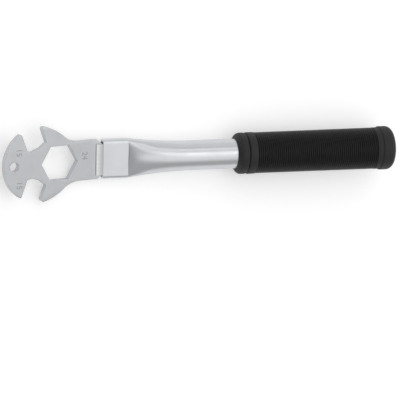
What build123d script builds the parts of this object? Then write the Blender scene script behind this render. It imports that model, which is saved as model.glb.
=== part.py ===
from build123d import *
import os
from math import atan2, cos, degrees, pi, radians, sin, sqrt

# A pedal wrench. A flat steel head plate, bent up at its neck, is welded into the pressed end of a
# round steel tube, and a ribbed rubber grip covers the other end of the tube.
# The wrench is drawn with its handle along X, the tube mouth at X 0 and the handle axis at Z 0.
# It is laid down at the end, the way it comes to rest on a bench: on the swelling of the tube, one
# corner of its mouth and the front bead of the grip. Sizes are in millimetres.

# Head plate, in its own plane from the middle of the hexagon hole
plate_thickness = 5.0
hex_across_flats = 24.0
jaw_width = 15.2
jaw_lean = 20.5
jaw_offset = 11.9
jaw_floor = 15.85
jaw_nose_relief = 2.9
jaw_nose_rise = 2.1
jaw_horn_relief = 5.4
jaw_horn_rise = 1.9
jaw_floor_rounding = 1.0
nose_reach = 42.1
nose_radius = 26.6
nose_tip_rounding = 1.2
horn_radius = 36.0
horn_slope = 41.0
horn_tip_rounding = 1.7
shoulder_reach = 15.8
shoulder_radius = 19.0
neck_width = 27.8
neck_reach = 25.3
hang_hole_diameter = 6.5
hang_hole_inset = 7.5
edge_break = 0.35

# Bend of the neck, and the tang that goes into the tube
bend_angle = 13.0
bend_radius = 12.5
bend_to_mouth = 4.9
stop_gap = 1.8
stop_rounding = 2.6
tang_length = 16.0
tang_lead = 1.5

# Tube, with the wall kept through the pressed end
tube_diameter = 21.0
tube_wall = 1.5
tube_length = 208.5
mouth_width = 27.8
mouth_corner = 2.5
flat_length = 18.3
swell_length = 48.0
swell_ease = 2.2
swell_bulge = 0.45
swell_steps = 9
swell_spacing = 1.6

# Weld on both faces of the plate, against the tube mouth
weld_margin = 0.3
weld_crown = 0.3

# Rubber grip, by its distance from the tube mouth
grip_start = 96.3
front_bead_radius = 14.6
front_bead_length = 7.0
groove_width = 1.6
groove_depth = 1.1
front_band_radius = 14.7
rib_start = 110.1
rib_count = 58
rib_pitch = 1.53
rib_depth = 0.7
rib_front_radius = 14.5
rib_rear_radius = 14.75
rear_band_length = 4.3
rear_band_radius = 14.8
end_bead_radius = 15.5
end_bead_shoulder = 0.8
end_rounding = 4.5
end_wall = 4.4

# How it lies: rolled about the handle onto a corner of the mouth, and pitched up to the grip
rest_roll = 12.77
rest_pitch = 4.628

# Sizes that follow from the ones above
tube_radius = tube_diameter / 2
mouth_thickness = plate_thickness + 2 * tube_wall
neck_half = neck_width / 2
nose_flat = -jaw_offset - jaw_width / 2
horn_flat = -jaw_offset + jaw_width / 2
inner_corner = mouth_corner - tube_wall
tang_half = mouth_width / 2 - tube_wall - inner_corner
bend_x = -bend_to_mouth
nose_center = nose_radius - nose_reach
hang_hole_reach = nose_reach - hang_hole_inset
grip_end = tube_length + end_wall


def jaw_opening():
    """The slot of the upper jaw: two flats and a floor with its corners cut off."""
    open_end = nose_radius * 2
    slot = make_face(
        Polyline(
            (nose_flat, open_end),
            (nose_flat, jaw_floor + jaw_nose_rise),
            (nose_flat + jaw_nose_relief, jaw_floor),
            (horn_flat - jaw_horn_relief, jaw_floor),
            (horn_flat, jaw_floor + jaw_horn_rise),
            (horn_flat, open_end),
            close=True,
        )
    )
    floor_corners = slot.vertices().sort_by(Axis.Y)[:4]
    slot = fillet(floor_corners, jaw_floor_rounding)
    return Rot(0, 0, jaw_lean) * slot


def shoulder_center():
    """Middle of the hollow arc between the neck and the horn."""
    return Vector(shoulder_reach, neck_half + shoulder_radius)


def horn_center():
    """Middle of the horn's back, which runs into the hollow arc without a corner."""
    slope = radians(horn_slope)
    return shoulder_center() - Vector(sin(slope), cos(slope)) * (shoulder_radius + horn_radius)


def jaw_exit(offset, center, radius):
    """Where a line along the upper jaw, at this offset from the hexagon's middle, leaves a circle."""
    lean = radians(jaw_lean)
    across = Vector(cos(lean), sin(lean))
    along = Vector(-sin(lean), cos(lean))
    to_center = center - across * offset
    aside = to_center.dot(across)
    return across * offset + along * (to_center.dot(along) + sqrt(radius ** 2 - aside ** 2))


def polar_angle(point, center):
    """Direction of a point from a centre, in degrees."""
    way = point - center
    return degrees(atan2(way.Y, way.X))


def head_blank():
    """Upper half of the blank: nose arc, horn back, shoulder and neck.

    The nose and the horn are drawn on to the middle of the jaw, where the opening cuts them off.
    """
    nose_middle = Vector(nose_center, 0)
    nose_start = polar_angle(jaw_exit(-jaw_offset, nose_middle, nose_radius), nose_middle)
    horn_end = polar_angle(jaw_exit(-jaw_offset, horn_center(), horn_radius), horn_center())
    horn_start = 90 - horn_slope
    nose_arc = CenterArc(nose_middle, nose_radius, nose_start, 180 - nose_start)
    horn_arc = CenterArc(horn_center(), horn_radius, horn_start, horn_end - horn_start)
    shoulder_arc = CenterArc(shoulder_center(), shoulder_radius, 270 - horn_slope, horn_slope)
    rim = Polyline(shoulder_arc @ 1, (neck_reach, neck_half), (neck_reach, 0), nose_arc @ 1)
    gap = Line(nose_arc @ 0, horn_arc @ 1)
    return make_face([nose_arc, gap, horn_arc, shoulder_arc, *rim.edges()])


def tip_corners(outline, tip):
    """The outline's corners nearest this point of the upper half and its mirror image."""
    others = (tip, Vector(tip.X, -tip.Y))
    nearest = [outline.vertices().sort_by_distance(point)[0] for point in others]
    return [v for v in outline.vertices() if v in nearest]


def head_outline():
    """Outline of the flat head: nose, two open jaws, two horns, hexagon hole and hanging hole."""
    half = head_blank() - jaw_opening()
    outline = half + mirror(half, about=Plane.XZ)
    horn_tip = jaw_exit(horn_flat, horn_center(), horn_radius)
    nose_tip = jaw_exit(nose_flat, Vector(nose_center, 0), nose_radius)
    outline = fillet(tip_corners(outline, horn_tip), horn_tip_rounding)
    outline = fillet(tip_corners(outline, nose_tip), nose_tip_rounding)
    outline -= RegularPolygon(hex_across_flats / 2, 6, major_radius=False)
    outline -= Pos(-hang_hole_reach, 0) * Circle(hang_hole_diameter / 2)
    return outline


def head_place():
    """Where the middle of the hexagon hole lies, with the head plane bent up from the handle."""
    angle = radians(bend_angle)
    x = bend_x - bend_radius * sin(angle) - neck_reach * cos(angle)
    z = bend_radius * (1 - cos(angle)) + neck_reach * sin(angle)
    return Pos(x, 0, z) * Rot(0, bend_angle, 0)


def broken_slab(outline, joined_x):
    """A plate of this outline with its rims broken, apart from the rim that joins the next stretch."""
    slab = extrude(outline, plate_thickness / 2, both=True)
    rims = [edge for edge in slab.edges() if abs(abs(edge.center().Z) - plate_thickness / 2) < 1e-4]
    return chamfer([rim for rim in rims if abs(rim.center().X - joined_x) > 1e-4], edge_break)


def neck_bend():
    """The bent strip between the flat head and the tang."""
    section = Rectangle(neck_width, plate_thickness)
    section = chamfer(section.vertices(), edge_break)
    axis = Axis((bend_x, 0, bend_radius), (0, 1, 0))
    return revolve(Pos(bend_x, 0, 0) * (Plane.YZ * section), axis, bend_angle)


def tang_outline():
    """The end of the plate: full width up to a stop, then narrow enough for the tube."""
    stop = Pos((bend_x - stop_gap) / 2, 0) * Rectangle(bend_to_mouth - stop_gap, neck_width)
    stop = fillet(stop.vertices().sort_by(Axis.X)[2:], stop_rounding)
    tongue_length = tang_length - bend_x
    tongue = Pos(bend_x + tongue_length / 2, 0) * Rectangle(tongue_length, 2 * tang_half)
    return stop + chamfer(tongue.vertices().sort_by(Axis.X)[2:], tang_lead)


def head_plate():
    """The whole plate as one piece, with its sharp stamped edges broken."""
    head = head_place() * broken_slab(head_outline(), neck_reach)
    return head + neck_bend() + broken_slab(tang_outline(), bend_x)


def pressed_section(x, spread, bulge, inset):
    """Closed section of the tube at x, between the pressed mouth and the round tube.

    spread and bulge run from 0 at the mouth to 1 at the round tube, across and through the section.
    inset moves the section inwards, for the bore. Each quarter is a side, a corner and a face.
    """
    half_width = mouth_width / 2 - inset
    half_thick = mouth_thickness / 2 - inset
    corner = mouth_corner - inset
    radius = tube_radius - inset
    side = half_thick - corner
    face = half_width - corner
    arc = corner * pi / 2
    turn = pi / 2 / (side + arc + face)
    diagonal = corner * cos(pi / 4)
    pressed = [
        (half_width, 0),
        (half_width, side / 2),
        (half_width, side),
        (face + diagonal, side + diagonal),
        (face, half_thick),
        (face / 2, half_thick),
        (0, half_thick),
    ]
    angles = [0, side / 2, side, side + arc / 2, side + arc, side + arc + face / 2, side + arc + face]
    quarter = []
    for (y, z), length in zip(pressed, angles):
        round_y = radius * cos(length * turn)
        round_z = radius * sin(length * turn)
        quarter.append((y + (round_y - y) * spread, z + (round_z - z) * bulge))
    half = quarter + [(-y, z) for y, z in quarter[-2::-1]]
    ring = half + [(y, -z) for y, z in half[-2:0:-1]]
    points = [Vector(x, y, z) for y, z in ring]
    points.append(points[0])
    pieces = []
    for i in range(0, len(points) - 1, 2):
        pieces.append(section_piece(points[i], points[i + 1], points[i + 2]))
    return Face(Wire(pieces))


def section_piece(start, middle, end):
    """An arc through three points, or a line where they lie in one."""
    bow = (start + end) / 2 - middle
    if bow.length < 1e-6:
        return Edge.make_line(start, end)
    return Edge.make_three_point_arc(start, middle, end)


def tube_body(inset):
    """Solid of the tube's outside, or of its bore with inset set to the wall.

    Its flat, swelling and round stretches meet edge to edge, so their skins close into one solid.
    """
    mouth = pressed_section(0, 0, 0, inset)
    sections = []
    for i in range(swell_steps + 1):
        share = (i / swell_steps) ** swell_spacing
        spread = 1 - (1 - share) ** swell_ease
        x = flat_length + swell_length * share
        sections.append(pressed_section(x, spread, spread ** swell_bulge, inset))
    round_run = Vector(tube_length - flat_length - swell_length, 0, 0)
    flat = Solid.extrude(mouth, Vector(flat_length, 0, 0))
    swell = loft(sections)
    rod = Solid.extrude(sections[-1], round_run)
    skin = [face for stretch in (flat, swell, rod) for face in stretch.faces()]
    skin = [face for face in skin if abs(face.normal_at().X) < 0.999]
    return Solid(Shell(skin + [mouth, Pos(round_run) * sections[-1]]))


def handle_tube():
    """Round tube with its front end pressed flat around the tang."""
    return tube_body(0) - tube_body(tube_wall)


def weld_bead():
    """Smooth welds on both faces of the plate, from the bend up to the tube mouth."""
    low = plate_thickness / 2
    high = mouth_thickness / 2
    toe = (bend_x, low)
    crest = (0, high)
    middle = (bend_x / 2, (low + high) / 2 + weld_crown)
    section = make_face([*Polyline(toe, (0, low), crest).edges(), ThreePointArc(crest, middle, toe)])
    upper = extrude(Plane.XZ * section, tang_half - weld_margin, both=True)
    return upper + mirror(upper, about=Plane.XY)


def grip_profile():
    """Half section of the grip: beads, groove, bands and ribs over the tube, closed at its end."""
    bead_round = front_bead_radius - tube_radius
    bead_end = grip_start + front_bead_length
    groove_end = bead_end + groove_width
    ribs_end = rib_start + rib_count * rib_pitch
    band_end = ribs_end + rear_band_length
    front = [
        (grip_start + bead_round, front_bead_radius),
        (bead_end, front_bead_radius),
        (bead_end + groove_width / 2, front_bead_radius - groove_depth),
        (groove_end, front_band_radius),
        (rib_start, front_band_radius),
    ]
    ribs = []
    for i in range(rib_count):
        crest = rib_front_radius + (rib_rear_radius - rib_front_radius) * i / (rib_count - 1)
        start = rib_start + i * rib_pitch
        ribs.append((start, crest - rib_depth))
        ribs.append((start + rib_pitch / 2, crest))
    ribs.append((ribs_end, rib_rear_radius - rib_depth))
    rear = [
        (ribs_end, rear_band_radius),
        (band_end, rear_band_radius),
        (band_end + end_bead_shoulder, end_bead_radius),
        (grip_end - end_rounding, end_bead_radius),
    ]
    crown = (grip_end, end_bead_radius - end_rounding)
    inside = [crown, (grip_end, 0), (tube_length, 0), (tube_length, tube_radius), (grip_start, tube_radius)]
    skin = Polyline(front[:1] + front[1:] + ribs + rear)
    bead_arc = RadiusArc((grip_start, tube_radius), front[0], bead_round)
    end_arc = RadiusArc(rear[-1], crown, end_rounding)
    return make_face([bead_arc, *skin.edges(), end_arc, *Polyline(inside).edges()])


def rubber_grip():
    """The grip turned around the handle axis."""
    return revolve(Plane.XZ * grip_profile(), Axis.X)


def lay_down(nodes):
    """Turn the wrench as it lies on a bench, with the floor at Z 0 under its middle."""
    resting = Rot(0, -rest_pitch, 0) * Rot(rest_roll, 0, 0)
    laid = {name: resting * solid for name, solid in nodes.items()}
    box = Compound([solid for node in laid.values() for solid in node.solids()]).bounding_box()
    middle = box.center()
    shift = Pos(-middle.X, -middle.Y, -box.min.Z)
    return {name: shift * solid for name, solid in laid.items()}


nodes = lay_down(
    {
        "head_plate": head_plate(),
        "handle_tube": handle_tube(),
        "weld_bead": weld_bead(),
        "rubber_grip": rubber_grip(),
    }
)
os.makedirs("parts", exist_ok=True)
for name, solid in nodes.items():
    export_step(solid, f"parts/{name}.step")
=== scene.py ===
from math import atan2, cos, pi, radians, sin, sqrt, tan

import bmesh
import bpy
from mathutils import Matrix, Vector


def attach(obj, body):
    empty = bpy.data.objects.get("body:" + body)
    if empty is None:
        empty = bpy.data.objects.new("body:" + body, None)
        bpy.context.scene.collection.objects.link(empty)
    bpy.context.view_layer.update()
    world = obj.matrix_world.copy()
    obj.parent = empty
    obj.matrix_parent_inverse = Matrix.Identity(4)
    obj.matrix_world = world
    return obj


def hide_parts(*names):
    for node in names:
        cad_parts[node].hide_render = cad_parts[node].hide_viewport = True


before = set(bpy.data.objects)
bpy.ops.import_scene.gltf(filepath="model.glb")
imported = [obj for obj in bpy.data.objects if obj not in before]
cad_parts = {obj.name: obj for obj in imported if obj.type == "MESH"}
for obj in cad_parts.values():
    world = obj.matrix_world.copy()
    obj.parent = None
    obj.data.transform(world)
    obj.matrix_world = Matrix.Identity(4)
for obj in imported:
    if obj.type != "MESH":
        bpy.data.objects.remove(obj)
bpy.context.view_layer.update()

MM = 0.001

# Sizes of the wrench in millimetres, as the CAD part has them.
# Head plate, in its own plane from the middle of the hexagon hole
PLATE_THICKNESS = 5.0
HEX_ACROSS_FLATS = 24.0
JAW_WIDTH = 15.2
JAW_LEAN = radians(20.5)
JAW_OFFSET = 11.9
JAW_FLOOR = 15.85
JAW_NOSE_RELIEF = (2.9, 2.1)
JAW_HORN_RELIEF = (5.4, 1.9)
JAW_FLOOR_ROUNDING = 1.0
NOSE_REACH = 42.1
NOSE_RADIUS = 26.6
NOSE_TIP_ROUNDING = 1.2
HORN_RADIUS = 36.0
HORN_SLOPE = radians(41.0)
HORN_TIP_ROUNDING = 1.7
SHOULDER_REACH = 15.8
SHOULDER_RADIUS = 19.0
NECK_WIDTH = 27.8
NECK_REACH = 25.3
HANG_HOLE_DIAMETER = 6.5
HANG_HOLE_REACH = 34.6
EDGE_BREAK = 0.35
# Plain sizes stamped beside the jaws and the hexagon: (digits, place from the hexagon)
NUMERALS = (("15", (-31.5, 10.0)), ("15", (-31.0, -13.0)), ("24", (19.0, 3.5)))
NUMERAL_HEIGHT = 4.2
NUMERAL_FILM = 0.012
TYPE_SIZE = NUMERAL_HEIGHT * 1.4
# Bend of the neck and the stop at the tube
BEND_ANGLE = radians(13.0)
BEND_RADIUS = 12.5
BEND_TO_MOUTH = 4.9
STOP_GAP = 1.8
STOP_ROUNDING = 2.6
TANG_LENGTH = 16.0
TANG_HALF = 11.4
TANG_LEAD = 1.5
# Tube
TUBE_RADIUS = 10.5
TUBE_WALL = 1.5
TUBE_LENGTH = 208.5
MOUTH_WIDTH = 27.8
MOUTH_THICKNESS = 8.0
MOUTH_CORNER = 2.5
FLAT_LENGTH = 18.3
SWELL_LENGTH = 48.0
SWELL_EASE = 2.2
SWELL_BULGE = 0.45
SWELL_SPACING = 1.6
CREASE_RUN = 0.35
MOUTH_BREAK = 0.25
# Weld: a steep toe at the bend, then a ramp up to the tube's mouth
WELD_TOE = 0.7
WELD_RISE = 0.8
WELD_TOE_ANGLE = 0.3
WELD_MARGIN = 0.3
WELD_SAG = 0.12
WELD_RIPPLE = 0.06
# Grip
GRIP_START = 96.3
FRONT_BEAD_RADIUS = 14.6
FRONT_BEAD_LENGTH = 7.0
GROOVE_WIDTH = 1.6
GROOVE_DEPTH = 1.1
GROOVE_LIP = 0.3
BEAD_REAR_ROUNDING = 1.2
BAND_EDGE = 0.4
FRONT_BAND_RADIUS = 14.7
RIB_START = 110.1
RIB_COUNT = 58
RIB_PITCH = 1.53
RIB_DEPTH = 0.7
RIB_HALF_WIDTH = RIB_PITCH * 0.37
RIB_FRONT_RADIUS = 14.5
RIB_REAR_RADIUS = 14.75
REAR_BAND_LENGTH = 4.3
REAR_BAND_RADIUS = 14.8
END_BEAD_RADIUS = 15.5
END_BEAD_SHOULDER = 0.8
END_ROUNDING = 4.5
GRIP_END = 212.9

# How the wrench lies on the floor, and where the drawn origin, the middle of the mouth, ends up
REST_ROLL = radians(12.77)
REST_PITCH = radians(4.628)
MOUTH_PLACE = Vector((-69.2116, 1.92556, 6.46489)) * MM
LAID = (
    Matrix.Translation(MOUTH_PLACE)
    @ Matrix.Rotation(-REST_PITCH, 4, "Y")
    @ Matrix.Rotation(REST_ROLL, 4, "X")
)


# ---- Materials ----


def linear(hex_colour):
    """An sRGB hex colour as the linear colour that Blender wants."""
    channels = [int(hex_colour[i : i + 2], 16) / 255 for i in (1, 3, 5)]
    return [c / 12.92 if c <= 0.04045 else ((c + 0.055) / 1.055) ** 2.4 for c in channels] + [1.0]


def add_node(tree, kind, links=None, inputs=None, **settings):
    """A node with its settings, its input values and its links from (node, output) pairs."""
    node = tree.nodes.new(kind)
    for name, value in settings.items():
        setattr(node, name, value)
    for name, value in (inputs or {}).items():
        node.inputs[name].default_value = value
    for name, (source, output) in (links or {}).items():
        tree.links.new(source.outputs[output], node.inputs[name])
    return node


def new_material(name, **surface):
    """A material with its Principled shader, the node tree and the Object coordinates in metres."""
    material = bpy.data.materials.new(name)
    material.use_nodes = True
    tree = material.node_tree
    tree.nodes.clear()
    shader = add_node(tree, "ShaderNodeBsdfPrincipled", inputs=surface)
    add_node(tree, "ShaderNodeOutputMaterial", {"Surface": (shader, "BSDF")})
    place = add_node(tree, "ShaderNodeTexCoord")
    return material, tree, shader, place


def satin_chrome(name, colour, dark, roughness, grain_mm, grain_height_mm):
    """Chrome over steel that was blasted before plating: pale grey, with soft wide highlights.

    The eye sees a fine even grain, a slight cloudiness of the gloss and no mirror image.
    """
    material, tree, shader, place = new_material(name, Metallic=1.0)
    cloud = add_node(
        tree,
        "ShaderNodeTexNoise",
        {"Vector": (place, "Object")},
        {"Scale": 1 / (9 * MM), "Detail": 3.0, "Roughness": 0.55},
    )
    tint = add_node(tree, "ShaderNodeMix", {"Factor": (cloud, "Fac")}, data_type="RGBA")
    tint.inputs["A"].default_value = linear(colour)
    tint.inputs["B"].default_value = linear(dark)
    tree.links.new(tint.outputs["Result"], shader.inputs["Base Color"])
    gloss = add_node(
        tree,
        "ShaderNodeMapRange",
        {"Value": (cloud, "Fac")},
        {"From Min": 0.3, "From Max": 0.7, "To Min": roughness - 0.03, "To Max": roughness + 0.03},
    )
    tree.links.new(gloss.outputs["Result"], shader.inputs["Roughness"])
    grain = add_node(
        tree,
        "ShaderNodeTexNoise",
        {"Vector": (place, "Object")},
        {"Scale": 1 / (grain_mm * MM), "Detail": 2.0, "Roughness": 0.6},
    )
    bump = add_node(
        tree,
        "ShaderNodeBump",
        {"Height": (grain, "Fac")},
        {"Strength": 1.0, "Distance": grain_height_mm * MM},
    )
    tree.links.new(bump.outputs["Normal"], shader.inputs["Normal"])
    return material


def moulded_rubber(name, colour, light, roughness, sheen):
    """Black rubber from a mould: nearly black, a soft dull sheen and a very fine skin."""
    material, tree, shader, place = new_material(
        name, **{"IOR": 1.52, "Specular IOR Level": sheen, "Roughness": roughness}
    )
    cloud = add_node(
        tree,
        "ShaderNodeTexNoise",
        {"Vector": (place, "Object")},
        {"Scale": 1 / (6 * MM), "Detail": 4.0, "Roughness": 0.6},
    )
    tint = add_node(tree, "ShaderNodeMix", {"Factor": (cloud, "Fac")}, data_type="RGBA")
    tint.inputs["A"].default_value = linear(colour)
    tint.inputs["B"].default_value = linear(light)
    tree.links.new(tint.outputs["Result"], shader.inputs["Base Color"])
    skin = add_node(
        tree,
        "ShaderNodeTexNoise",
        {"Vector": (place, "Object")},
        {"Scale": 1 / (0.5 * MM), "Detail": 3.0, "Roughness": 0.65},
    )
    bump = add_node(
        tree,
        "ShaderNodeBump",
        {"Height": (skin, "Fac")},
        {"Strength": 1.0, "Distance": 0.02 * MM},
    )
    tree.links.new(bump.outputs["Normal"], shader.inputs["Normal"])
    return material


# The plate is the dullest grey and the drawn tube is brighter. The ground weld is given the palest
# colour, painted light that brightens its ramp
plate_chrome = satin_chrome("blasted_satin_chrome_plate", "#C5C7C9", "#BCBEC1", 0.40, 0.35, 0.006)
tube_chrome = satin_chrome("satin_chrome_tube", "#CFD1D4", "#C8CACD", 0.30, 0.5, 0.004)
# The weld's pale colour is painted light, paler than the tube's chrome
weld_chrome_painted_light = satin_chrome("ground_weld_painted_light", "#E6E7E8", "#DCDEDF", 0.36, 0.8, 0.02)
# Stamped marks: a faint darker grey film, painted shade of the stamped hollows
numeral_painted_shade = satin_chrome("stamped_numeral_painted_shade", "#A2A4A6", "#999B9D", 0.50, 0.35, 0.006)
grip_rubber = moulded_rubber("moulded_black_rubber", "#101011", "#1C1C1D", 0.62, 0.45)
# The ribs are coloured blacker than the bands: painted shade of the grooves between them. The thin glint
# along each crest comes from their gloss
rib_rubber_painted_shade = moulded_rubber("ribbed_rubber_painted_groove_shade", "#050506", "#0A0A0B", 0.38, 0.25)


# ---- Pieces ----


def finish_piece(name, mesh, material, slot, *nodes):
    """Put a mesh in the scene as a piece of the wrench that stands for these CAD nodes."""
    piece = bpy.data.objects.new(name, mesh)
    bpy.context.scene.collection.objects.link(piece)
    mesh.materials.clear()
    mesh.materials.append(material)
    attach(piece, "root")
    if nodes:
        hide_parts(*nodes)
    return piece


def smooth(mesh, sharp_angle):
    """Smooth shading that stays crisp at edges sharper than this."""
    mesh.shade_smooth()
    mesh.set_sharp_from_angle(angle=radians(sharp_angle))


# ---- Head plate ----


def arc(centre, radius, start, end, steps):
    """Points along an arc, both ends included."""
    angles = [start + (end - start) * i / steps for i in range(steps + 1)]
    return [Vector((centre[0] + radius * cos(a), centre[1] + radius * sin(a))) for a in angles]


def meet(point, direction, centre, radius):
    """Where a line from a point leaves a circle."""
    to_centre = Vector(centre) - point
    along = to_centre.dot(direction)
    off = (to_centre - along * direction).length
    return point + direction * (along + sqrt(radius * radius - off * off))


def rounded(outline):
    """The closed outline with its marked corners rounded. It lists (point, rounding) pairs."""
    result = []
    count = len(outline)
    cut = []
    for i, (corner, rounding) in enumerate(outline):
        if not rounding:
            continue
        before = (outline[i - 1][0] - corner).normalized()
        after = (outline[(i + 1) % count][0] - corner).normalized()
        half = before.angle(after) / 2
        run = rounding / tan(half)
        cut.append((corner, run))
        middle = corner + (before + after).normalized() * rounding / sin(half)
        first = corner + before * run - middle
        turn = first.angle_signed(corner + after * run - middle)
        steps = 8
        arc_points = []
        for k in range(steps + 1):
            spin = Matrix.Rotation(-turn * k / steps, 2)
            arc_points.append(middle + spin @ first)
        result.append((i, arc_points))
    rounds = dict(result)
    points = []
    for i, (corner, rounding) in enumerate(outline):
        if i in rounds:
            points += rounds[i]
        elif all((corner - c).length > run * 1.02 for c, run in cut):
            points.append(corner)
    return points


def half_outline():
    """Upper half of the plate's flat outline, from the neck to the tip of the nose."""
    half_neck = NECK_WIDTH / 2
    shoulder = Vector((SHOULDER_REACH, half_neck + SHOULDER_RADIUS))
    slope_way = Vector((sin(HORN_SLOPE), cos(HORN_SLOPE)))
    horn_centre = shoulder - slope_way * (SHOULDER_RADIUS + HORN_RADIUS)
    nose_centre = Vector((NOSE_RADIUS - NOSE_REACH, 0))
    out = Vector((-sin(JAW_LEAN), cos(JAW_LEAN)))
    across = Vector((cos(JAW_LEAN), sin(JAW_LEAN)))
    nose_flat = -JAW_OFFSET - JAW_WIDTH / 2
    horn_flat = -JAW_OFFSET + JAW_WIDTH / 2
    horn_round = HORN_TIP_ROUNDING
    nose_round = NOSE_TIP_ROUNDING
    horn_tip = meet(across * (horn_flat + horn_round), out, horn_centre, HORN_RADIUS - horn_round)
    nose_tip = meet(across * (nose_flat - nose_round), out, nose_centre, NOSE_RADIUS - nose_round)
    horn_angle = atan2(*(horn_tip - horn_centre).yx)
    nose_angle = atan2(*(nose_tip - nose_centre).yx)
    line = [(p, 0) for p in arc(shoulder, SHOULDER_RADIUS, 1.5 * pi, 1.5 * pi - HORN_SLOPE, 24)]
    line += [(p, 0) for p in arc(horn_centre, HORN_RADIUS, pi / 2 - HORN_SLOPE, horn_angle, 36)[1:]]
    line += [(p, 0) for p in arc(horn_tip, horn_round, horn_angle, pi + JAW_LEAN, 12)[1:]]
    floor = [
        (horn_flat, JAW_FLOOR + JAW_HORN_RELIEF[1]),
        (horn_flat - JAW_HORN_RELIEF[0], JAW_FLOOR),
        (nose_flat + JAW_NOSE_RELIEF[0], JAW_FLOOR),
        (nose_flat, JAW_FLOOR + JAW_NOSE_RELIEF[1]),
    ]
    line += [(across * x + out * y, JAW_FLOOR_ROUNDING) for x, y in floor]
    line += [(p, 0) for p in arc(nose_tip, nose_round, JAW_LEAN, nose_angle, 12)]
    line += [(p, 0) for p in arc(nose_centre, NOSE_RADIUS, nose_angle, pi, 48)[1:]]
    return line


def unrolled_stop():
    """Upper half of the neck end on the flat, from the narrow tang to the bend."""
    bend_run = BEND_RADIUS * BEND_ANGLE
    tang_start = NECK_REACH + bend_run
    stop_end = tang_start + BEND_TO_MOUTH - STOP_GAP
    tang_end = tang_start + TANG_LENGTH + BEND_TO_MOUTH
    return [
        (Vector((tang_end, TANG_HALF)), TANG_LEAD),
        (Vector((stop_end, TANG_HALF)), 0),
        (Vector((stop_end, NECK_WIDTH / 2)), STOP_ROUNDING),
    ]


def plate_outline():
    """The whole outline of the unbent plate."""
    upper = unrolled_stop() + half_outline()
    lower = [(Vector((p.x, -p.y)), r) for p, r in upper[-2::-1]]
    return rounded(upper + lower)


def add_loop(curve, points):
    """A closed loop of straight stretches in a flat curve."""
    spline = curve.splines.new("POLY")
    spline.points.add(len(points) - 1)
    for point, place in zip(spline.points, points):
        point.co = (place[0] * MM, place[1] * MM, 0, 1)
    spline.use_cyclic_u = True


def bent(point):
    """A point of the unbent plate, in metres from the hexagon, in the drawn position."""
    x, y, z = point / MM
    bend_run = BEND_RADIUS * BEND_ANGLE
    beyond = x - NECK_REACH
    if beyond <= 0:
        turn, straight = BEND_ANGLE, beyond
    elif beyond < bend_run:
        turn, straight = BEND_ANGLE * (1 - beyond / bend_run), 0
    else:
        turn, straight = 0, beyond - bend_run
    # The bend turns about a line above the plate, one bend radius over its middle
    lever = BEND_RADIUS - z
    px = -BEND_TO_MOUTH - lever * sin(turn) + straight * cos(turn)
    pz = BEND_RADIUS - lever * cos(turn) - straight * sin(turn)
    return Vector((px, y, pz)) * MM


def head_plate_mesh():
    """The stamped plate: cut on the flat with rounded rims, then bent at the neck."""
    curve = bpy.data.curves.new("plate_blank", "CURVE")
    curve.dimensions = "2D"
    curve.fill_mode = "BOTH"
    curve.extrude = (PLATE_THICKNESS / 2 - EDGE_BREAK) * MM
    curve.bevel_depth = EDGE_BREAK * MM
    curve.bevel_resolution = 1
    curve.offset = -EDGE_BREAK * MM
    add_loop(curve, plate_outline())
    hex_radius = HEX_ACROSS_FLATS / 2 / cos(pi / 6)
    add_loop(curve, arc((0, 0), hex_radius, 0, -2 * pi, 6)[:-1])
    add_loop(curve, arc((-HANG_HOLE_REACH, 0), HANG_HOLE_DIAMETER / 2, 0, -2 * pi, 48)[:-1])
    blank = bpy.data.objects.new("plate_blank", curve)
    bpy.context.scene.collection.objects.link(blank)
    mesh = bpy.data.meshes.new_from_object(blank)
    bpy.data.objects.remove(blank)
    bm = bmesh.new()
    bm.from_mesh(mesh)
    bmesh.ops.remove_doubles(bm, verts=bm.verts, dist=0.001 * MM)
    bend_steps = 10
    for i in range(bend_steps + 1):
        x = (NECK_REACH + BEND_RADIUS * BEND_ANGLE * i / bend_steps) * MM
        whole = bm.verts[:] + bm.edges[:] + bm.faces[:]
        bmesh.ops.bisect_plane(bm, geom=whole, plane_co=(x, 0, 0), plane_no=(1, 0, 0), dist=1e-7)
    for vertex in bm.verts:
        vertex.co = bent(vertex.co)
    bmesh.ops.recalc_face_normals(bm, faces=bm.faces)
    bm.to_mesh(mesh)
    bm.free()
    mesh.transform(LAID)
    smooth(mesh, 35)
    return mesh


head_plate = finish_piece(
    "stamped_head_plate", head_plate_mesh(), plate_chrome, "plate_steel", "head_plate"
)
flats = head_plate.modifiers.new("flat_faces_stay_flat", "WEIGHTED_NORMAL")
flats.keep_sharp = True


def numerals_mesh():
    """The plain sizes stamped on the head, as shallow marks of painted shade on its upper face, where the
    stamped hollows would hold shade.
    """
    bm = bmesh.new()
    for text, place in NUMERALS:
        curve = bpy.data.curves.new("numeral", "FONT")
        curve.body = text
        curve.align_x = "CENTER"
        curve.align_y = "CENTER"
        curve.size = TYPE_SIZE * MM
        curve.extrude = NUMERAL_FILM * MM
        writer = bpy.data.objects.new("numeral", curve)
        bpy.context.scene.collection.objects.link(writer)
        mesh = bpy.data.meshes.new_from_object(writer)
        bpy.data.objects.remove(writer)
        spot = Vector((place[0], place[1], PLATE_THICKNESS / 2)) * MM
        mesh.transform(Matrix.Translation(spot) @ Matrix.Rotation(-pi / 2, 4, "Z"))
        bm.from_mesh(mesh)
    bmesh.ops.remove_doubles(bm, verts=bm.verts, dist=0.001 * MM)
    for vertex in bm.verts:
        vertex.co = bent(vertex.co)
    mesh = bpy.data.meshes.new("size_numerals")
    bm.to_mesh(mesh)
    bm.free()
    mesh.transform(LAID)
    return mesh


# The numerals are a film of painted shade, darker than the plate
finish_piece("size_numerals", numerals_mesh(), numeral_painted_shade, "plate_steel")


# ---- Handle tube ----


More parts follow.
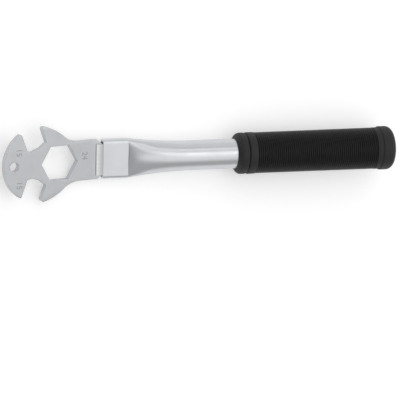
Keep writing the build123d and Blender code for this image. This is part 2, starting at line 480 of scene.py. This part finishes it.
def pressed_ring(x, spread, bulge, inset):
    """One ring of the tube at x, between the pressed mouth and the round tube."""
    half_width = MOUTH_WIDTH / 2 - inset
    half_thick = MOUTH_THICKNESS / 2 - inset
    corner = MOUTH_CORNER - min(inset, TUBE_WALL)
    radius = TUBE_RADIUS - inset
    side = half_thick - corner
    face = half_width - corner
    bend = corner * pi / 2
    quarter_run = side + bend + face
    runs = [side * i / 4 for i in range(4)]
    runs += [side + bend * i / 10 for i in range(10)]
    runs += [side + bend + face * i / 16 for i in range(17)]
    quarter = []
    for run in runs:
        if run <= side:
            flat = (half_width, run)
        elif run <= side + bend:
            turn = (run - side) / corner
            flat = (face + corner * cos(turn), side + corner * sin(turn))
        else:
            flat = (side + bend + face - run, half_thick)
        angle = run / quarter_run * pi / 2
        y = flat[0] + (radius * cos(angle) - flat[0]) * spread
        z = flat[1] + (radius * sin(angle) - flat[1]) * bulge
        quarter.append((y, z))
    half = quarter + [(-y, z) for y, z in quarter[-2::-1]]
    ring = half + [(y, -z) for y, z in half[-2:0:-1]]
    return [Vector((x, y, z)) * MM for y, z in ring]


def tube_stations():
    """(x, spread, bulge) along the tube: flat, swelling, round."""
    stations = [(0, 0, 0), (FLAT_LENGTH * 0.5, 0, 0), (FLAT_LENGTH - CREASE_RUN, 0, 0)]
    steps = 64
    for i in range(steps + 1):
        share = (i / steps) ** SWELL_SPACING
        spread = 1 - (1 - share) ** SWELL_EASE
        stations.append((FLAT_LENGTH + SWELL_LENGTH * share, spread, spread**SWELL_BULGE))
    stations.append((TUBE_LENGTH, 1, 1))
    return stations


def skin_rings(bm, rings):
    """Faces between rings of points, in order. Gives the first and last rings of vertices."""
    loops = [[bm.verts.new(point) for point in ring] for ring in rings]
    for a, b in zip(loops, loops[1:]):
        for i in range(len(a)):
            j = (i + 1) % len(a)
            bm.faces.new((a[i], b[i], b[j], a[j]))
    return loops[0], loops[-1]


def join_loops(bm, a, b):
    """Faces between two loops of vertices of one count."""
    for i in range(len(a)):
        j = (i + 1) % len(a)
        bm.faces.new((a[i], b[i], b[j], a[j]))


def tube_mesh():
    """The drawn tube with its bore, its front end pressed flat."""
    bm = bmesh.new()
    stations = tube_stations()
    lip = [pressed_ring(0, 0, 0, MOUTH_BREAK), pressed_ring(MOUTH_BREAK, 0, 0, 0)]
    outer = lip + [pressed_ring(x, s, b, 0) for x, s, b in stations[1:]]
    inner = [pressed_ring(x, s, b, TUBE_WALL) for x, s, b in stations]
    outer_front, outer_rear = skin_rings(bm, outer)
    inner_front, inner_rear = skin_rings(bm, inner[::-1])
    join_loops(bm, inner_rear, outer_front)
    join_loops(bm, outer_rear, inner_front)
    bmesh.ops.recalc_face_normals(bm, faces=bm.faces)
    mesh = bpy.data.meshes.new("handle_tube")
    bm.to_mesh(mesh)
    bm.free()
    mesh.transform(LAID)
    smooth(mesh, 30)
    return mesh


finish_piece("pressed_tube", tube_mesh(), tube_chrome, "tube_steel", "handle_tube")


# ---- Weld ----


def weld_line():
    """(x, height) over one weld from the bend to the mouth: toe, brow and a slightly hollow ramp."""
    low = PLATE_THICKNESS / 2
    high = MOUTH_THICKNESS / 2
    brow = (-BEND_TO_MOUTH + WELD_TOE, low + WELD_RISE)
    line = [(-BEND_TO_MOUTH, low)]
    line += [(p.x, p.y) for p in arc((brow[0], low), WELD_RISE, pi - WELD_TOE_ANGLE, pi / 2, 6)]
    steps = 14
    for i in range(1, steps + 1):
        share = i / steps
        sag = WELD_SAG * sin(pi * share)
        line.append((brow[0] * (1 - share), brow[1] + (high - brow[1]) * share - sag))
    return line


def weld_mesh():
    """The two ground welds, one on each face of the plate, with a faint ripple along them."""
    bm = bmesh.new()
    half_length = TANG_HALF - WELD_MARGIN
    columns = 90
    for side in (1, -1):
        rows = []
        for i in range(columns + 1):
            y = half_length * (2 * i / columns - 1)
            ripple = WELD_RIPPLE * (sin(y * 3.1) + 0.6 * sin(y * 5.3 + 1))
            line = weld_line()
            fade = [sin(pi * k / (len(line) - 1)) for k in range(len(line))]
            row = [Vector((x, y, side * (z - abs(ripple) * f))) * MM for (x, z), f in zip(line, fade)]
            row.append(Vector((0, y, side * PLATE_THICKNESS / 2)) * MM)
            rows.append(row)
        first, last = skin_rings(bm, rows)
        bm.faces.new(first)
        bm.faces.new(last)
    bmesh.ops.recalc_face_normals(bm, faces=bm.faces)
    mesh = bpy.data.meshes.new("ground_welds")
    bm.to_mesh(mesh)
    bm.free()
    mesh.transform(LAID)
    smooth(mesh, 40)
    return mesh


finish_piece("ground_welds", weld_mesh(), weld_chrome_painted_light, "weld_steel", "weld_bead")


# ---- Grip ----


def turned(profile, steps):
    """A skin turned about the handle axis from (x, radius) points, with its two open end rings."""
    bm = bmesh.new()
    rings = []
    for x, radius in profile:
        ring = []
        for i in range(steps):
            angle = 2 * pi * i / steps
            ring.append(Vector((x, radius * cos(angle), radius * sin(angle))) * MM)
        rings.append(ring)
    first, last = skin_rings(bm, rings)
    return bm, first, last


def bow(start, end, rounding_way, steps):
    """A quarter ellipse from start to end; rounding_way 0 leaves start along the radius."""
    points = []
    for i in range(1, steps + 1):
        angle = pi / 2 * i / steps
        if rounding_way == 0:
            along, out = 1 - cos(angle), sin(angle)
        else:
            along, out = sin(angle), 1 - cos(angle)
        points.append((start[0] + (end[0] - start[0]) * along, start[1] + (end[1] - start[1]) * out))
    return points


def grip_profile():
    """Outside of the grip without its ribs: bead, groove, band, core, band and end bead."""
    bead_round = FRONT_BEAD_RADIUS - TUBE_RADIUS
    bead_end = GRIP_START + FRONT_BEAD_LENGTH
    groove_end = bead_end + GROOVE_WIDTH
    ribs_end = RIB_START + RIB_COUNT * RIB_PITCH
    band_end = ribs_end + REAR_BAND_LENGTH
    line = [(GRIP_START, TUBE_RADIUS)]
    line += bow(line[-1], (GRIP_START + bead_round, FRONT_BEAD_RADIUS), 0, 12)
    bead_top = (bead_end - BEAD_REAR_ROUNDING, FRONT_BEAD_RADIUS)
    line.append(bead_top)
    line += bow(bead_top, (bead_end + GROOVE_WIDTH / 2, FRONT_BEAD_RADIUS - GROOVE_DEPTH), 1, 6)
    line += bow(line[-1], (groove_end + GROOVE_LIP, FRONT_BAND_RADIUS), 0, 4)
    line.append((RIB_START - BAND_EDGE, FRONT_BAND_RADIUS))
    line += bow(line[-1], (RIB_START, RIB_FRONT_RADIUS - RIB_DEPTH), 1, 4)
    line.append((ribs_end, RIB_REAR_RADIUS - RIB_DEPTH))
    line += bow(line[-1], (ribs_end + BAND_EDGE, REAR_BAND_RADIUS), 0, 4)
    line.append((band_end, REAR_BAND_RADIUS))
    line += bow(line[-1], (band_end + END_BEAD_SHOULDER, END_BEAD_RADIUS), 0, 5)
    line.append((GRIP_END - END_ROUNDING, END_BEAD_RADIUS))
    line += bow(line[-1], (GRIP_END, END_BEAD_RADIUS - END_ROUNDING), 1, 14)
    return line


def grip_sleeve_mesh():
    """The moulded sleeve, closed at its free end and bored for the tube."""
    steps = 96
    bm, mouth, crown = turned(grip_profile(), steps)
    end_middle = bm.verts.new(Vector((GRIP_END, 0, 0)) * MM)
    for i in range(steps):
        bm.faces.new((crown[i], end_middle, crown[(i + 1) % steps]))
    angles = [2 * pi * i / steps for i in range(steps)]
    spots = [Vector((TUBE_LENGTH, TUBE_RADIUS * cos(a), TUBE_RADIUS * sin(a))) * MM for a in angles]
    bore_end = [bm.verts.new(spot) for spot in spots]
    join_loops(bm, mouth, bore_end)
    bore_middle = bm.verts.new(Vector((TUBE_LENGTH, 0, 0)) * MM)
    for i in range(steps):
        bm.faces.new((bore_end[i], bore_end[(i + 1) % steps], bore_middle))
    bmesh.ops.recalc_face_normals(bm, faces=bm.faces)
    mesh = bpy.data.meshes.new("grip_sleeve")
    bm.to_mesh(mesh)
    bm.free()
    mesh.transform(LAID)
    smooth(mesh, 40)
    return mesh


def rib_tree():
    """Geometry Nodes that set the ribs along the grip as rounded rings."""
    tree = bpy.data.node_groups.new("grip_ribs", "GeometryNodeTree")
    face = tree.interface
    face.new_socket("Geometry", in_out="INPUT", socket_type="NodeSocketGeometry")
    face.new_socket("Rib count", in_out="INPUT", socket_type="NodeSocketInt")
    for name in ("First rib", "Rib pitch", "Front radius", "Rear radius", "Rib half width", "Rib height"):
        face.new_socket(name, in_out="INPUT", socket_type="NodeSocketFloat")
    face.new_socket("Rubber", in_out="INPUT", socket_type="NodeSocketMaterial")
    face.new_socket("Geometry", in_out="OUTPUT", socket_type="NodeSocketGeometry")
    sizes = add_node(tree, "NodeGroupInput")
    start = add_node(tree, "ShaderNodeCombineXYZ", {"X": (sizes, "First rib")})
    step = add_node(tree, "ShaderNodeCombineXYZ", {"X": (sizes, "Rib pitch")})
    row = add_node(
        tree,
        "GeometryNodeMeshLine",
        {"Count": (sizes, "Rib count"), "Start Location": (start, "Vector"), "Offset": (step, "Vector")},
        mode="OFFSET",
    )
    index = add_node(tree, "GeometryNodeInputIndex")
    growth = add_node(
        tree,
        "ShaderNodeMapRange",
        {
            "Value": (index, "Index"),
            "From Max": (sizes, "Rib count"),
            "To Min": (sizes, "Front radius"),
            "To Max": (sizes, "Rear radius"),
        },
    )
    circle = add_node(tree, "GeometryNodeCurvePrimitiveCircle", inputs={"Resolution": 96, "Radius": 1.0})
    # The ring is one unit in radius and is scaled to each rib, so its section is scaled back first
    section = add_node(tree, "GeometryNodeCurvePrimitiveCircle", inputs={"Resolution": 10, "Radius": 1.0})
    tall = add_node(
        tree,
        "ShaderNodeMath",
        {0: (sizes, "Rib height"), 1: (sizes, "Front radius")},
        operation="DIVIDE",
    )
    wide = add_node(
        tree,
        "ShaderNodeMath",
        {0: (sizes, "Rib half width"), 1: (sizes, "Front radius")},
        operation="DIVIDE",
    )
    section_size = add_node(tree, "ShaderNodeCombineXYZ", {"X": (tall, "Value"), "Y": (wide, "Value")})
    section_flat = add_node(
        tree, "GeometryNodeTransform", {"Geometry": (section, "Curve"), "Scale": (section_size, "Vector")}
    )
    ring = add_node(
        tree,
        "GeometryNodeCurveToMesh",
        {"Curve": (circle, "Curve"), "Profile Curve": (section_flat, "Geometry")},
    )
    turned_ring = add_node(
        tree,
        "GeometryNodeTransform",
        {"Geometry": (ring, "Mesh")},
        {"Rotation": (0, pi / 2, 0)},
    )
    ribs = add_node(
        tree,
        "GeometryNodeInstanceOnPoints",
        {"Points": (row, "Mesh"), "Instance": (turned_ring, "Geometry"), "Scale": (growth, "Result")},
    )
    real = add_node(tree, "GeometryNodeRealizeInstances", {"Geometry": (ribs, "Instances")})
    finish = add_node(
        tree, "GeometryNodeSetMaterial", {"Geometry": (real, "Geometry"), "Material": (sizes, "Rubber")}
    )
    add_node(tree, "NodeGroupOutput", {"Geometry": (finish, "Geometry")})
    return tree


def made_by_nodes(name, tree, values):
    """The plain mesh that a Geometry Nodes tree makes with these input values."""
    maker = bpy.data.objects.new(name, bpy.data.meshes.new(name))
    bpy.context.scene.collection.objects.link(maker)
    modifier = maker.modifiers.new(name, "NODES")
    modifier.node_group = tree
    for item in tree.interface.items_tree:
        if item.in_out == "INPUT" and item.name in values:
            modifier[item.identifier] = values[item.name]
    seen = maker.evaluated_get(bpy.context.evaluated_depsgraph_get())
    mesh = bpy.data.meshes.new_from_object(seen)
    bpy.data.objects.remove(maker)
    return mesh


def grip_ribs_mesh():
    """All ribs as one mesh of rounded rings, each sunk into the sleeve."""
    mesh = made_by_nodes(
        "grip_ribs",
        rib_tree(),
        {
            "Rib count": RIB_COUNT,
            "First rib": (RIB_START + RIB_PITCH / 2) * MM,
            "Rib pitch": RIB_PITCH * MM,
            "Front radius": (RIB_FRONT_RADIUS - RIB_DEPTH) * MM,
            "Rear radius": (RIB_REAR_RADIUS - RIB_DEPTH) * MM,
            "Rib half width": RIB_HALF_WIDTH * MM,
            "Rib height": RIB_DEPTH * MM,
            "Rubber": rib_rubber_painted_shade,
        },
    )
    mesh.transform(LAID)
    smooth(mesh, 60)
    return mesh


finish_piece("grip_sleeve", grip_sleeve_mesh(), grip_rubber, "grip_rubber", "rubber_grip")
# The ribs carry the darker rubber, painted shade of the grooves
finish_piece("grip_ribs", grip_ribs_mesh(), rib_rubber_painted_shade, "grip_rubber")


# ---- Studio ----

# Glow of the light table and level of the walls
TABLE_GLOW = 0.31
WALL_LEVEL = 0.52


def floor_material():
    """Matt white paper on a light table: it looks white and keeps the soft shadow.

    The glow is seen by the camera and in the metal, and doesn't light the wrench.
    """
    material, tree, shader, _ = new_material(
        "matt_white_paper", **{"Base Color": linear("#F6F6F6"), "Roughness": 0.9}
    )
    output = next(node for node in tree.nodes if node.type == "OUTPUT_MATERIAL")
    path = add_node(tree, "ShaderNodeLightPath")
    mirrored = add_node(
        tree,
        "ShaderNodeMath",
        {0: (path, "Is Glossy Ray"), 1: (path, "Is Transmission Ray")},
        operation="MAXIMUM",
    )
    seen = add_node(
        tree,
        "ShaderNodeMath",
        {0: (path, "Is Camera Ray"), 1: (mirrored, "Value")},
        operation="MAXIMUM",
    )
    glow = add_node(tree, "ShaderNodeMath", {0: (seen, "Value")}, {1: TABLE_GLOW}, operation="MULTIPLY")
    light = add_node(tree, "ShaderNodeEmission", {"Strength": (glow, "Value")})
    both = add_node(tree, "ShaderNodeAddShader", {0: (shader, "BSDF"), 1: (light, "Emission")})
    tree.links.new(both.outputs["Shader"], output.inputs["Surface"])
    return material


def studio_floor():
    """A wide white floor under the wrench."""
    bm = bmesh.new()
    bmesh.ops.create_grid(bm, x_segments=1, y_segments=1, size=3.0)
    mesh = bpy.data.meshes.new("studio_floor")
    bm.to_mesh(mesh)
    bm.free()
    floor = bpy.data.objects.new("studio_floor", mesh)
    bpy.context.scene.collection.objects.link(floor)
    mesh.materials.append(floor_material())


def softbox(name, toward, distance, width, height, power):
    """A soft rectangular lamp in this direction from the wrench, facing it."""
    light = bpy.data.lights.new(name, "AREA")
    light.shape = "RECTANGLE"
    light.size = width
    light.size_y = height
    light.energy = power
    lamp = bpy.data.objects.new(name, light)
    bpy.context.scene.collection.objects.link(lamp)
    way = Vector(toward).normalized()
    lamp.location = way * distance
    lamp.rotation_euler = way.to_track_quat("Z", "Y").to_euler()


def studio_world():
    """The even pale light of the studio's walls."""
    world = bpy.data.worlds.new("studio")
    bpy.context.scene.world = world
    world.use_nodes = True
    walls = next(node for node in world.node_tree.nodes if node.type == "BACKGROUND")
    walls.inputs["Color"].default_value = linear("#FFFFFF")
    walls.inputs["Strength"].default_value = WALL_LEVEL


studio_floor()
studio_world()
softbox("top_softbox", (0.25, -0.2, 0.9), 1.5, 1.6, 1.5, 4.5)
softbox("strip_softbox", (0.21, 0.14, 0.97), 1.4, 1.4, 0.22, 1.1)
softbox("back_softbox", (0.25, 0.62, 0.75), 1.5, 1.2, 0.45, 1.4)
softbox("low_back_softbox", (0.25, 0.95, 0.3), 1.5, 1.8, 0.75, 1.7)
softbox("right_softbox", (0.95, 0.1, 0.5), 1.6, 1.0, 1.0, 2.5)

scene = bpy.context.scene
scene.view_settings.view_transform = "Standard"

# The camera stands where the photograph was taken from, found by fitting it to the picture
CAMERA_PLACE = (-0.751168, 0.021833, 1.973814)
CAMERA_TURN = (radians(-0.603786), radians(-21.003390), radians(-2.236053))
camera_data = bpy.data.cameras.new("camera")
camera_data.sensor_width = 36
camera_data.lens = 270
camera_data.clip_end = 20
camera = bpy.data.objects.new("camera", camera_data)
scene.collection.objects.link(camera)
camera.location = CAMERA_PLACE
camera.rotation_euler = CAMERA_TURN
scene.camera = camera
